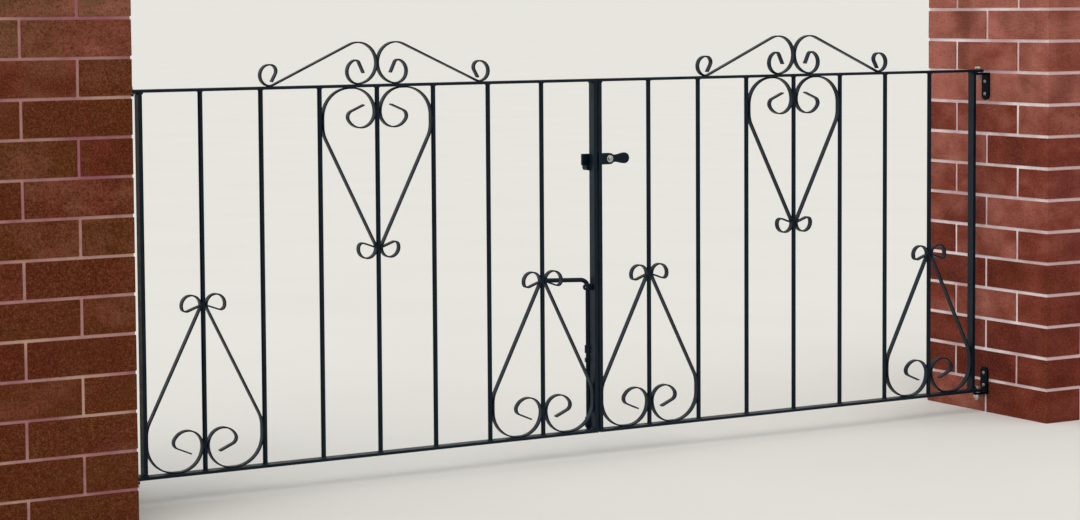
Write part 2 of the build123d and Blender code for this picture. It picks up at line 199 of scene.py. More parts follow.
class Surface(Tree):
    """The nodes of a material with one principled shader."""

    def __init__(self, name: str) -> None:
        """Starts a material.

        Args:
            name: The material's name.
        """
        self.material = bpy.data.materials.new(name)
        super().__init__(self.material)
        self.place = self.add("TexCoord")["Object"]

    def levels(self, value: Socket, levels: Levels) -> Socket:
        """Spreads a value between two levels, and holds it there."""
        ends = dict(zip(("From Min", "From Max", "To Min", "To Max"), astuple(levels)))
        return self.add("MapRange", {"Value": value, **ends})["Result"]

    def grain(self, grain: Grain, place: Optional[Socket] = None) -> Socket:
        """Noise over a surface.

        Args:
            grain: What it is like.
            place: Coordinates, if not the object's own.

        Returns:
            The noise, spread between its levels where it has some.
        """
        mapped = self.add("Mapping", {"Vector": place or self.place, "Scale": grain.stretch})["Vector"]
        inputs = {"Vector": mapped, "Scale": grain.scale, "Detail": grain.detail}
        factor = self.add("TexNoise", inputs)["Fac"]
        return self.levels(factor, grain.levels) if grain.levels else factor

    def cells(self, scale: float) -> Socket:
        """A random number for each small cell of the object's space."""
        colour = self.add("TexVoronoi", {"Vector": self.place, "Scale": scale})["Color"]
        return self.add("SeparateColor", {"Color": colour})["Red"]

    def own(self, name: str) -> Socket:
        """An attribute of the mesh, as a number."""
        return self.add("Attribute", attribute_name=name)["Fac"]

    def mix(self, share: object, first: object, second: object) -> Socket:
        """Mixes two colours, by the share of the second one."""
        inputs = dict(zip(MIX_INPUTS, (share, first, second)))
        return self.add("Mix", inputs, data_type="RGBA")[MIX_OUTPUT]

    def relief(self, *layers: tuple[Socket, float], under: Optional[Socket] = None) -> Socket:
        """Lays bumps over each other.

        Args:
            *layers: Each one's height, from 0 to 1, and what height 1 stands for, in metres.
            under: The normal that the first one is laid on.

        Returns:
            The bumped normal.
        """
        for height, depth in layers:
            inputs = {"Strength": 1.0, "Distance": depth, "Height": height}
            if under is not None:
                inputs["Normal"] = under
            under = self.add("Bump", inputs)["Normal"]
        return under

    def softened(self, radius: float) -> Socket:
        """A normal that rounds the edges by a radius in metres."""
        return self.add("Bevel", {"Radius": radius}, samples=6)["Normal"]

    def edges(self, radius: float) -> Socket:
        """1 along sharp edges and 0 on flat faces."""
        normals = {0: self.softened(radius), 1: self.add("NewGeometry")["Normal"]}
        return self.levels(self.add("VectorMath", normals, operation="DOT_PRODUCT")["Value"], EDGE)

    def looks(self, axis: Axis, levels: Levels) -> Socket:
        """How far a face looks along an axis, from the part of its normal that lies along it."""
        parts = self.add("SeparateXYZ", {"Vector": self.add("NewGeometry")["Normal"]})
        return self.levels(parts[axis.name], levels)

    def finish(self, inputs: Inputs) -> Material:
        """Gives the shader its inputs, and gives back the material."""
        self.add("OutputMaterial", {"Surface": self.add("BsdfPrincipled", inputs)["BSDF"]})
        return self.material


@dataclass(frozen=True)
class SatinPaint:
    """Blue-black satin paint brushed over mild steel."""

    name: str = "satin_black_paint"
    coat: Colour = (0.0008, 0.004, 0.0082)
    faded: Colour = (0.0042, 0.009, 0.016)
    rubbed: Colour = (0.03, 0.04, 0.049)
    dust: Colour = (0.048, 0.05, 0.05)
    sheen: Colour = (0.58, 0.82, 1.0)
    shine: float = 0.2
    dulling: float = 0.3
    arris: float = 0.7 * MM
    rubbed_arris: float = 0.9 * MM
    patches: Grain = Grain(16.0, 4.0, Levels(0.35, 0.7))
    rubbing: Grain = Grain(55.0, 5.0, Levels(0.4, 0.7, 0.15, 1.0))
    dusting: Grain = Grain(70.0, 6.0, Levels(0.3, 0.8, 0.1, 0.75))
    upward: Levels = Levels(0.7, 0.98)
    gloss: Grain = Grain(38.0, 3.0, Levels(0.3, 0.7, 0.33, 0.47))
    bristles: Grain = Grain(650.0, 2.0)
    strokes: Grain = Grain(150.0, 2.0, stretch=(1.0, 1.0, 0.2))
    stroke_height: float = 1.6
    relief: float = 0.09 * MM

    def build(self) -> Material:
        """Builds the material.

        Returns:
            The material.
        """
        paint = Surface(self.name)
        colour = paint.mix(paint.grain(self.patches), self.coat, self.faded)
        worn = paint.sums("MULTIPLY", paint.edges(self.rubbed_arris), paint.grain(self.rubbing))
        colour = paint.mix(worn, colour, self.rubbed)
        settled = paint.sums("MULTIPLY", paint.looks(Axis.Z, self.upward), paint.grain(self.dusting))
        dulled = paint.sums("MULTIPLY", settled, self.dulling)
        strokes = paint.sums("MULTIPLY", paint.grain(self.strokes), self.stroke_height)
        brushed = paint.sums("ADD", paint.grain(self.bristles), strokes)
        return paint.finish({
            "Base Color": paint.mix(settled, colour, self.dust),
            "Roughness": paint.sums("ADD", paint.grain(self.gloss), dulled),
            "Specular IOR Level": self.shine,
            "Specular Tint": self.sheen,
            "Normal": paint.relief((brushed, self.relief), under=paint.softened(self.arris)),
        })


@dataclass(frozen=True)
class ShadedBracketPaint(SatinPaint):
    """A darker, duller copy of the paint for the hinge brackets, without its blue: painted shade."""

    name: str = "bracket_painted_shade"
    coat: Colour = (0.0008, 0.0012, 0.0018)
    faded: Colour = (0.002, 0.0028, 0.0038)
    rubbed: Colour = (0.014, 0.017, 0.02)
    shine: float = 0.06


@dataclass(frozen=True)
class ZincPlate:
    """Bright zinc plate on bolts, washers and nuts."""

    name: str = "bright_zinc"
    plate: Colour = (0.62, 0.63, 0.62)
    cool: Colour = (0.5, 0.53, 0.56)
    warm: Colour = (0.6, 0.57, 0.48)
    dull: Colour = (0.3, 0.29, 0.27)
    clouds: Grain = Grain(220.0, 3.0, Levels(0.35, 0.65))
    warmth: Grain = Grain(90.0, 2.0, Levels(0.5, 0.8, 0.0, 0.6))
    flake_scale: float = 900.0
    flakes: Levels = Levels(0.75, 1.0, 0.0, 0.35)
    gloss: Grain = Grain(300.0, 3.0, Levels(0.3, 0.7, 0.28, 0.48))
    crystals: Grain = Grain(1400.0, 2.0)
    relief: float = 0.02 * MM
    arris: float = 0.3 * MM

    def build(self) -> Material:
        """Builds the material.

        Returns:
            The material.
        """
        zinc = Surface(self.name)
        colour = zinc.mix(zinc.grain(self.clouds), self.plate, self.cool)
        colour = zinc.mix(zinc.grain(self.warmth), colour, self.warm)
        flakes = zinc.levels(zinc.cells(self.flake_scale), self.flakes)
        crystals = (zinc.grain(self.crystals), self.relief)
        return zinc.finish({
            "Base Color": zinc.mix(flakes, colour, self.dull),
            "Metallic": 1.0,
            "Roughness": zinc.grain(self.gloss),
            "Normal": zinc.relief(crystals, under=zinc.softened(self.arris)),
        })


@dataclass(frozen=True)
class DullZinc(ZincPlate):
    """Darker, duller zinc on the brackets' screws."""

    name: str = "dull_zinc"
    plate: Colour = (0.36, 0.37, 0.38)
    cool: Colour = (0.26, 0.28, 0.3)
    warm: Colour = (0.3, 0.28, 0.24)
    dull: Colour = (0.16, 0.16, 0.15)


@dataclass(frozen=True)
class FacingBrick:
    """Red sand-faced brick; each brick has its own tone, its own brownness and its own patterns; the right
    pier's faces that look to the front get painted shade.
    """

    name: str = "red_facing_brick"
    dark: Colour = (0.09, 0.01, 0.0046)
    red: Colour = (0.24, 0.05, 0.032)
    pale: Colour = (0.48, 0.165, 0.122)
    # Dark kiln smoke and drag marks, and also the painted shade on the front faces.
    smoke_and_painted_shade: Colour = (0.092, 0.016, 0.017)
    umber: Colour = (0.104, 0.031, 0.007)
    tan: Colour = (0.155, 0.085, 0.038)
    sand: Colour = (0.35, 0.125, 0.072)
    soot: Colour = (0.042, 0.006, 0.002)
    shine: float = 0.04
    apart: float = 9.0
    cloud: Grain = Grain(11.0, 5.0, stretch=(1.0, 1.0, 1.6))
    clouding: Levels = Levels(0.25, 0.75, -0.30, 0.3)
    dark_to_red: Levels = Levels(0.0, 0.5)
    red_to_pale: Levels = Levels(0.5, 1.0)
    burning: Grain = Grain(6.0, 4.0, Levels(0.52, 0.74, 0.0, 0.7))
    streaks: Grain = Grain(11.0, 4.0, Levels(0.49, 0.64, 0.0, 0.68), (1.0, 1.0, 0.07))
    soiling: Levels = Levels(0.0, 0.3, 0.5, 1.0)
    browning: Levels = Levels(0.7, 0.35, 0.5, 1.5)
    brownest: Levels = Levels(0.15, 0.25)
    bleaching: Levels = Levels(0.15, 0.5)
    # How much painted shade the faces that look to the front get: 0.2 on the right pier's bricks, none on
    # the left pier's.
    painted_front_shade: Levels = Levels(0.15, 0.25, 0.2, 0.0)
    drag: Grain = Grain(48.0, 5.0, stretch=(1.0, 1.0, 9.0))
    dragged: Levels = Levels(0.45, 0.75, 0.0, 0.25)
    mottle: Grain = Grain(185.0, 4.0)
    mottle_sand: Levels = Levels(0.53, 0.72, 0.0, 0.22)
    mottle_soot: Levels = Levels(0.48, 0.32, 0.0, 0.5)
    speck: Grain = Grain(520.0, 3.0)
    speck_sand: Levels = Levels(0.53, 0.72, 0.0, 0.38)
    speck_soot: Levels = Levels(0.48, 0.32, 0.0, 0.65)
    gloss: Levels = Levels(0.2, 0.8, 0.82, 0.96)
    pits: Grain = Grain(130.0, 4.0, Levels(0.25, 0.45), (1.0, 1.0, 1.7))
    drag_depth: float = 1.3 * MM
    pit_depth: float = 0.6 * MM
    speck_depth: float = 0.5 * MM

    def build(self) -> Material:
        """Builds the material.

        Returns:
            The material.
        """
        brick = Surface(self.name)
        brown = brick.own("brown")
        shift = {0: brick.place, 1: brick.sums("MULTIPLY", brick.own("lot"), self.apart)}
        place = brick.add("VectorMath", shift, operation="ADD")["Vector"]
        cloud, drag, mottle, speck = (
            brick.grain(grain, place) for grain in (self.cloud, self.drag, self.mottle, self.speck)
        )
        tone = brick.sums("ADD", brick.own("tone"), brick.levels(cloud, self.clouding))
        colour = brick.mix(brick.levels(tone, self.dark_to_red), self.dark, self.red)
        colour = brick.mix(brick.levels(tone, self.red_to_pale), colour, self.pale)
        colour = brick.mix(brick.grain(self.burning, place), colour, self.smoke_and_painted_shade)
        soiled = brick.levels(brown, self.soiling)
        streaks = brick.sums("MULTIPLY", brick.grain(self.streaks), soiled)
        browned = brick.sums("MULTIPLY", brown, brick.levels(cloud, self.browning))
        brownest = brick.levels(brown, self.brownest)
        bleached = brick.sums("MULTIPLY", brick.levels(tone, self.bleaching), brownest)
        earth = brick.mix(bleached, self.umber, self.tan)
        colour = brick.mix(brick.sums("MAXIMUM", streaks, browned), colour, earth)
        colour = brick.mix(brick.levels(drag, self.dragged), colour, self.smoke_and_painted_shade)
        for grain, sandy, sooty in (
            (mottle, self.mottle_sand, self.mottle_soot),
            (speck, self.speck_sand, self.speck_soot),
        ):
            colour = brick.mix(brick.levels(grain, sandy), colour, self.sand)
            flecks = brick.sums("MULTIPLY", brick.levels(grain, sooty), soiled)
            colour = brick.mix(flecks, colour, self.soot)
        # Painted shade: the faces that look to the front are mixed towards the smoke colour, on the right
        # pier's bricks only.
        shaded = brick.sums("MULTIPLY", brick.looks(Axis.Y, FRONT), brick.levels(brown, self.painted_front_shade))
        pits = (brick.grain(self.pits, place), self.pit_depth)
        return brick.finish({
            "Base Color": brick.mix(shaded, colour, self.smoke_and_painted_shade),
            "Roughness": brick.levels(speck, self.gloss),
            "Specular IOR Level": self.shine,
            "Normal": brick.relief((drag, self.drag_depth), pits, (speck, self.speck_depth)),
        })


@dataclass(frozen=True)
class Mortar:
    """Sanded mortar in the joints."""

    name: str = "pale_mortar"
    clean: Colour = (0.92, 0.79, 0.78)
    tinted: Colour = (0.59, 0.39, 0.39)
    grit: Colour = (0.34, 0.24, 0.23)
    # How far the faces that look to the front are mixed towards the tinted colour.
    front_darkening: float = 0.75
    rough: float = 0.93
    shine: float = 0.2
    patches: Grain = Grain(7.0, 5.0, Levels(0.38, 0.62))
    grains: Grain = Grain(420.0, 4.0)
    gritty: Levels = Levels(0.56, 0.8, 0.0, 0.6)
    lumps: Grain = Grain(160.0, 4.0)
    lump_depth: float = 0.8 * MM
    grain_depth: float = 0.35 * MM

    def build(self) -> Material:
        """Builds the material.

        Returns:
            The material.
        """
        mortar = Surface(self.name)
        colour = mortar.mix(mortar.grain(self.patches), self.clean, self.tinted)
        # Faces that look to the front are mixed towards the tinted colour, and so are darker.
        darker_front = mortar.sums("MULTIPLY", mortar.looks(Axis.Y, FRONT), self.front_darkening)
        colour = mortar.mix(darker_front, colour, self.tinted)
        grains = mortar.grain(self.grains)
        lumps = (mortar.grain(self.lumps), self.lump_depth)
        return mortar.finish({
            "Base Color": mortar.mix(mortar.levels(grains, self.gritty), colour, self.grit),
            "Roughness": self.rough,
            "Specular IOR Level": self.shine,
            "Normal": mortar.relief(lumps, (grains, self.grain_depth)),
        })


@dataclass(frozen=True)
class ShadedMortar(Mortar):
    """The darker, redder mortar of the left pier."""

    name: str = "shaded_mortar"
    clean: Colour = (0.5, 0.31, 0.24)
    tinted: Colour = (0.33, 0.12, 0.14)
    grit: Colour = (0.24, 0.12, 0.1)
    front_darkening: float = 0.0


@dataclass(frozen=True)
class CastStone:
    """Cast stone with fine aggregate and rain streaks."""

    name: str = "cast_stone"
    stone: Colour = (0.52, 0.5, 0.45)
    pale: Colour = (0.62, 0.6, 0.55)
    stain: Colour = (0.25, 0.24, 0.2)
    grit: Colour = (0.2, 0.18, 0.16)
    patches: Grain = Grain(11.0, 5.0, Levels(0.35, 0.65))
    streaks: Grain = Grain(22.0, 5.0, Levels(0.5, 0.8, 0.0, 0.5), (1.0, 1.0, 0.25))
    grains: Grain = Grain(750.0, 3.0)
    gritty: Levels = Levels(0.6, 0.78, 0.0, 0.6)
    gloss: Levels = Levels(0.3, 0.7, 0.8, 0.95)
    pits: Grain = Grain(240.0, 3.0, Levels(0.28, 0.4))
    pit_depth: float = 0.7 * MM
    grain_depth: float = 0.3 * MM

    def build(self) -> Material:
        """Builds the material.

        Returns:
            The material.
        """
        stone = Surface(self.name)
        colour = stone.mix(stone.grain(self.patches), self.stone, self.pale)
        colour = stone.mix(stone.grain(self.streaks), colour, self.stain)
        grains = stone.grain(self.grains)
        pits = (stone.grain(self.pits), self.pit_depth)
        return stone.finish({
            "Base Color": stone.mix(stone.levels(grains, self.gritty), colour, self.grit),
            "Roughness": stone.levels(grains, self.gloss),
            "Normal": stone.relief(pits, (grains, self.grain_depth)),
        })


@dataclass(frozen=True)
class StudioFloor:
    """The plain pale floor."""

    name: str = "studio_floor"
    pale: Colour = (0.746, 0.731, 0.681)
    soft: Colour = (0.726, 0.711, 0.661)
    patches: Grain = Grain(1.5, 4.0, Levels(0.3, 0.7))
    rough: float = 0.9
    shine: float = 0.1

    def build(self) -> Material:
        """Builds the material.

        Returns:
            The material.
        """
        floor = Surface(self.name)
        colour = floor.mix(floor.grain(self.patches), self.pale, self.soft)
        return floor.finish(
            {"Base Color": colour, "Roughness": self.rough, "Specular IOR Level": self.shine}
        )


class Finishes:
    """The materials that the pieces share."""

    def __init__(self) -> None:
        """Builds them."""
        self.paint = SatinPaint().build()
        # The brackets' paint is a darker copy of the same paint: painted shade.
        self.black = ShadedBracketPaint().build()
        self.zinc = ZincPlate().build()
        self.dull_zinc = DullZinc().build()
        self.brick = FacingBrick().build()
        self.stone = CastStone().build()
        self.mortar = {Side.RIGHT: Mortar().build(), Side.LEFT: ShadedMortar().build()}
        self.of = {
            Slot.PAINT: self.paint,
            Slot.ZINC: self.zinc,
            Slot.BRICK: self.brick,
            Slot.STONE: self.stone,
        }


def placed(name: str, data: ID) -> Object:
    """Makes an object and links it to the scene.

    Args:
        name: Its name.
        data: Its mesh, lamp or camera.

    Returns:
        The object.
    """
    made = bpy.data.objects.new(name, data)
    bpy.context.scene.collection.objects.link(made)
    return made


def facing(way: Vector) -> Matrix:
    """The turn that makes a piece's own Z axis look along a direction."""
    return way.normalized().to_track_quat("Z", "Y").to_matrix().to_4x4()


def faces_of(points: Iterable[BMVert]) -> list[BMFace]:
    """The faces that meet at these vertices."""
    return list({face for point in points for face in point.link_faces})


def edges_of(points: Iterable[BMVert]) -> list[BMEdge]:
    """The edges that meet at these vertices."""
    return list({edge for point in points for edge in point.link_edges})


class Piece:
    """A mesh that is being made, and the object that it becomes."""

    def __init__(self, name: str) -> None:
        """Starts an empty mesh.

        Args:
            name: The object's name.
        """
        self.name = name
        self.mesh = bmesh.new()

    def settle(self, made: dict, spot: Matrix) -> list[BMVert]:
        """Moves what an operator has just made to a spot, and gives its vertices."""
        bmesh.ops.transform(self.mesh, matrix=spot, verts=made["verts"])
        return made["verts"]

    def block(self, size: Point, spot: Matrix) -> list[BMVert]:
        """Adds a block of a size about a spot, and gives its vertices."""
        cube = bmesh.ops.create_cube(self.mesh, size=1.0)
        return self.settle(cube, spot @ Matrix.Diagonal((*size, 1.0)))

    def hexagon(self, radius: float, height: float, spot: Matrix, ease: float) -> None:
        """Adds a bolt's head or a nut with its edges eased.

        Args:
            radius: Half its width over the corners.
            height: Its height.
            spot: Where its middle goes.
            ease: The width of the eased edges.
        """
        sizes = {"radius1": radius, "radius2": radius, "depth": height}
        made = bmesh.ops.create_cone(self.mesh, cap_ends=True, cap_tris=False, segments=6, **sizes)
        self.soften(edges_of(self.settle(made, spot)), ease)

    def soften(self, edges: Iterable[BMEdge], width: float, segments: int = 2) -> None:
        """Bevels edges.

        Args:
            edges: The edges.
            width: The bevel's width in metres.
            segments: Its segments.
        """
        bmesh.ops.bevel(
            self.mesh,
            geom=list(edges),
            offset=width,
            offset_type="OFFSET",
            segments=segments,
            profile=0.5,
            affect="EDGES",
            material=-1,
            clamp_overlap=True,
        )

    def spin(self, outline: list[BMVert | BMEdge], steps: int) -> None:
        """Spins an outline once about its own Z axis, and closes it.

        Args:
            outline: Its vertices and edges.
            steps: Faces round the turn.
        """
        bmesh.ops.spin(
            self.mesh,
            geom=outline,
            cent=(0.0, 0.0, 0.0),
            axis=Axis.Z.value,
            angle=2 * math.pi,
            steps=steps,
            use_merge=True,
            use_duplicate=False,
        )

    def turned(self, outline: Sequence[tuple[float, float]], spot: Matrix, steps: int = 20) -> None:
        """Spins an outline into a closed round solid about its own Z axis.

        Args:
            outline: Radius and height of each corner; the first and last lie on the axis.
            spot: Where the solid goes.
            steps: Faces round it.
        """
        corners = [self.mesh.verts.new((radius, 0.0, height)) for radius, height in outline]
        edges = [self.mesh.edges.new(pair) for pair in zip(corners, corners[1:])]
        self.spin(corners + edges, steps)
        fresh = self.island(corners[0])
        bmesh.ops.remove_doubles(self.mesh, verts=fresh, dist=MERGE)
        fresh = self.island(next(vert for vert in fresh if vert.is_valid))
        bmesh.ops.recalc_face_normals(self.mesh, faces=faces_of(fresh))
        bmesh.ops.transform(self.mesh, matrix=spot, verts=fresh)

    def island(self, start: BMVert) -> list[BMVert]:
        """Finds what hangs together.

        Args:
            start: A vertex.

        Returns:
            The vertices that hang together with it.
        """
        found = {start}
        queue = [start]
        while queue:
            near = {vert for edge in queue.pop().link_edges for vert in edge.verts} - found
            found |= near
            queue += near
        return list(found)

    def bare(self) -> Object:
        """Makes the object as it stands, with no finish.

        Returns:
            The object.
        """
        data = bpy.data.meshes.new(self.name)
        self.mesh.to_mesh(data)
        self.mesh.free()
        return placed(self.name, data)

    def finish(self, material: Material, body: Body, slot: Slot, smooth: Optional[float] = None) -> Object:
        """Makes the object with its finish.

        Args:
            material: Its material.
            body: The body that it rides on.
            slot: Its slot; not used.
            smooth: The angle in degrees under which edges are shaded smooth, or None for flat faces.

        Returns:
            The object.
        """
        if smooth is not None:
            limit = math.radians(smooth)
            for face in self.mesh.faces:
                face.smooth = True
            for edge in self.mesh.edges:
                edge.smooth = len(edge.link_faces) == 2 and edge.calc_face_angle(0.0) < limit
        made = self.bare()
        made.data.materials.append(material)
        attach(made, body.value)
        return made


class SubAssembly(Protocol):
    """Anything that builds pieces of the gate."""

    def build(self) -> list[Object]:
        """Builds its pieces."""


@dataclass(frozen=True)
class Batch:
    """One pier's bricks: their joints, the spread and lift of their tones, and their brownness."""

    joint: float
    tones: tuple[float, float]
    lift: float
    browns: tuple[float, float]


@dataclass
class BrickPier:
    """A square pier of two-brick courses that turn a quarter from one course to the next.

    The skew is in degrees, and waves are the swells of a face, in a metre.
    """

    side: Side
    finishes: Finishes
    left: Batch = Batch(6.0 * MM, (-0.28, 0.16), 0.75, (0.25, 0.8))
    right: Batch = Batch(7.5 * MM, (0.18, 0.71), 0.85, (0.0, 0.15))
    width: float = 440 * MM
    rise: float = 75 * MM
    courses: int = 15
    recess: float = 2.2 * MM
    arris: float = 1.1 * MM
    slack: float = 0.3 * MM
    skew: float = 0.12
    waves: float = 45.0
    wave_height: float = 0.5 * MM
    mortar_waves: float = 60.0
    mortar_height: float = 0.6 * MM
    mortar_cuts: int = 44
    steepness: int = 3
    seed: int = 7

    def __post_init__(self) -> None:
        """Reads the pier's place from the model, picks its bricks and starts its random lot."""
        self.node = f"{self.side.value}_pier"
        low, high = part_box(self.node)
        self.centre = (low.x + high.x) / 2
        self.batch = self.left if self.side is Side.LEFT else self.right
        self.joint = self.batch.joint
        self.lot = random.Random(self.seed + len(self.side.value))
        noise.seed_set(self.seed)
        self.piece = Piece(f"{self.node}_bricks")

    @property
    def brick(self) -> Point:
        """A brick's length, depth and height, from the joints between two in a row and in a course."""
        long = (self.width - self.joint) / 2
        return long, (long - self.joint) / 2, self.rise - self.joint

    def marks(self, course: int) -> dict[str, float]:
        """Draws what makes a brick's look its own; the pier darkens from its top downwards.

        Args:
            course: The course's number, from the ground.

        Returns:
            Its tone, the place of its patterns and its brownness.
        """
        height = course / (self.courses - 1)
        return {
            "tone": self.lot.uniform(*self.batch.tones) + self.batch.lift * height**self.steepness,
            "lot": self.lot.random(),
            "brown": self.lot.uniform(*self.batch.browns),
        }

    def lay(self, course: int, centre: tuple[float, float], along: Axis) -> None:
        """Lays one brick.

        Args:
            course: The course's number, from the ground.
            centre: The brick's centre, from the pier's.
            along: The way that it runs.
        """
        long, deep, high = self.brick
        size = (long, deep, high) if along is Axis.X else (deep, long, high)
        size = tuple(side - self.lot.uniform(0.0, 2 * self.slack) for side in size)
        shift = [self.lot.uniform(-self.slack, self.slack) for _ in centre]
        base = course * self.rise + self.joint
        if course == 0:
            base, size = 0.0, (size[0], size[1], self.rise)
        middle = (self.centre + centre[0] + shift[0], centre[1] + shift[1], base + size[2] / 2)
        turn = Matrix.Rotation(math.radians(self.lot.uniform(-self.skew, self.skew)), 4, "Z")
        faces = faces_of(self.piece.block(size, Matrix.Translation(middle) @ turn))
        for name, value in self.marks(course).items():
            layer = self.piece.mesh.faces.layers.float[name]
            for face in faces:
                face[layer] = value

    def course(self, number: int) -> None:
        """Lays a course: two stretchers on two faces, and a stretcher between headers on the others.

        Args:
            number: The course's number, from the ground.
        """
        long, deep, _ = self.brick
        turned = (number % 2 == 0) == (self.side is Side.RIGHT)
        half = (long + self.joint) / 2
        edge = (self.width - deep) / 2
        for way in (-1, 1):
            pair = [((half * end, edge * way), Axis.X) for end in (-1, 1)]
            for (x, y), along in (*pair, ((edge * way, 0.0), Axis.Y)):
                if turned:
                    self.lay(number, (y, x), Axis.Y if along is Axis.X else Axis.X)
                else:
                    self.lay(number, (x, y), along)

    def bricks(self) -> Object:
        """Builds the bricks, and holds them within the pier's real size.

        Returns:
            The piece that stands for the pier.
        """
        mesh = self.piece.mesh
        for name in ("tone", "lot", "brown"):
            mesh.faces.layers.float.new(name)
        for number in range(self.courses):
            self.course(number)
        self.piece.soften(mesh.edges, self.arris)
        half = self.width / 2
        low = Vector((self.centre - half, -half, 0.0))
        high = Vector((self.centre + half, half, self.courses * self.rise))
        for vert in mesh.verts:
            waved = vert.co + noise.noise_vector(vert.co * self.waves) * self.wave_height
            vert.co = [min(max(place, least), most) for place, least, most in zip(waved, low, high)]
        made = self.piece.finish(self.finishes.brick, Body.PIERS, Slot.BRICK)
        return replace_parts(made, self.node)

    def mortar(self) -> Object:
        """Builds the mortar: a core that shows between the bricks, a little behind their faces.

        Returns:
            The piece.
        """
        piece = Piece(f"{self.node}_mortar")
        height = self.courses * self.rise - self.joint / 2
        width = self.width - 2 * self.recess
        piece.block((width, width, height), Matrix.Translation((self.centre, 0.0, height / 2)))
        edges = piece.mesh.edges[:]
        bmesh.ops.subdivide_edges(piece.mesh, edges=edges, cuts=self.mortar_cuts, use_grid_fill=True)
        for vert in piece.mesh.verts:
            if vert.co.z > self.joint / 2:
                vert.co += noise.noise_vector(vert.co * self.mortar_waves) * self.mortar_height
        return piece.finish(self.finishes.mortar[self.side], Body.PIERS, Slot.BRICK, smooth=60.0)

    def build(self) -> list[Object]:
        """Builds the pier's bricks and mortar."""
        return [self.bricks(), self.mortar()]


@dataclass
class PierCap:
    """A cast stone cap with a weathered top, soft arrises and a drip groove."""

    side: Side
    finishes: Finishes
    edge: float = 50 * MM
    flat: float = 80 * MM
    arris: float = 3.5 * MM
    drip_from_edge: float = 9 * MM
    drip_width: float = 8 * MM
    drip_slope: float = 0.8 * MM
    drip_depth: float = 5 * MM

    def build(self) -> list[Object]:
        """Builds the cap.

        Returns:
            The piece that stands for it.
        """
        node = f"{self.side.value}_pier_cap"
        low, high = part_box(node)
        width = high.x - low.x
        piece = Piece(f"{node}_stone")
        mesh = piece.mesh
        middle = ((low.x + high.x) / 2, (low.y + high.y) / 2, low.z + self.edge / 2)
        piece.block((width, width, self.edge), Matrix.Translation(middle))
        top = max(mesh.faces, key=lambda face: face.calc_center_median().z)
        self.inset(mesh, [top], (width - self.flat) / 2)
        bmesh.ops.translate(mesh, vec=(0.0, 0.0, high.z - low.z - self.edge), verts=top.verts[:])
        under = min(mesh.faces, key=lambda face: face.calc_center_median().z)
        self.inset(mesh, [under], self.drip_from_edge)
        groove = self.inset(mesh, [under], self.drip_width)
        self.inset(mesh, groove, self.drip_slope, depth=-self.drip_depth, use_boundary=True)
        outer = [edge for edge in mesh.edges if all(self.outside(vert, low, high) for vert in edge.verts)]
        piece.soften(outer, self.arris, segments=3)
        made = piece.finish(self.finishes.stone, Body.PIERS, Slot.STONE, smooth=32.0)
        return [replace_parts(made, node)]

    def inset(self, mesh: BMesh, faces: list[BMFace], width: float, **more: object) -> list[BMFace]:
        """Insets faces by a width, and gives the faces of the rim that this makes."""
        more |= {"thickness": width, "use_even_offset": True}
        return bmesh.ops.inset_region(mesh, faces=faces, **more)["faces"]

    def outside(self, vert: BMVert, low: Vector, high: Vector) -> bool:
        """Whether a corner lies on one of the cap's four sides or on its top."""
        return min(*(vert.co - low).xy, *(high - vert.co)) < TOUCH


@dataclass(frozen=True)
class Bead:
    """A weld bead's length, and its thickness on each side."""

    length: float
    radius: float


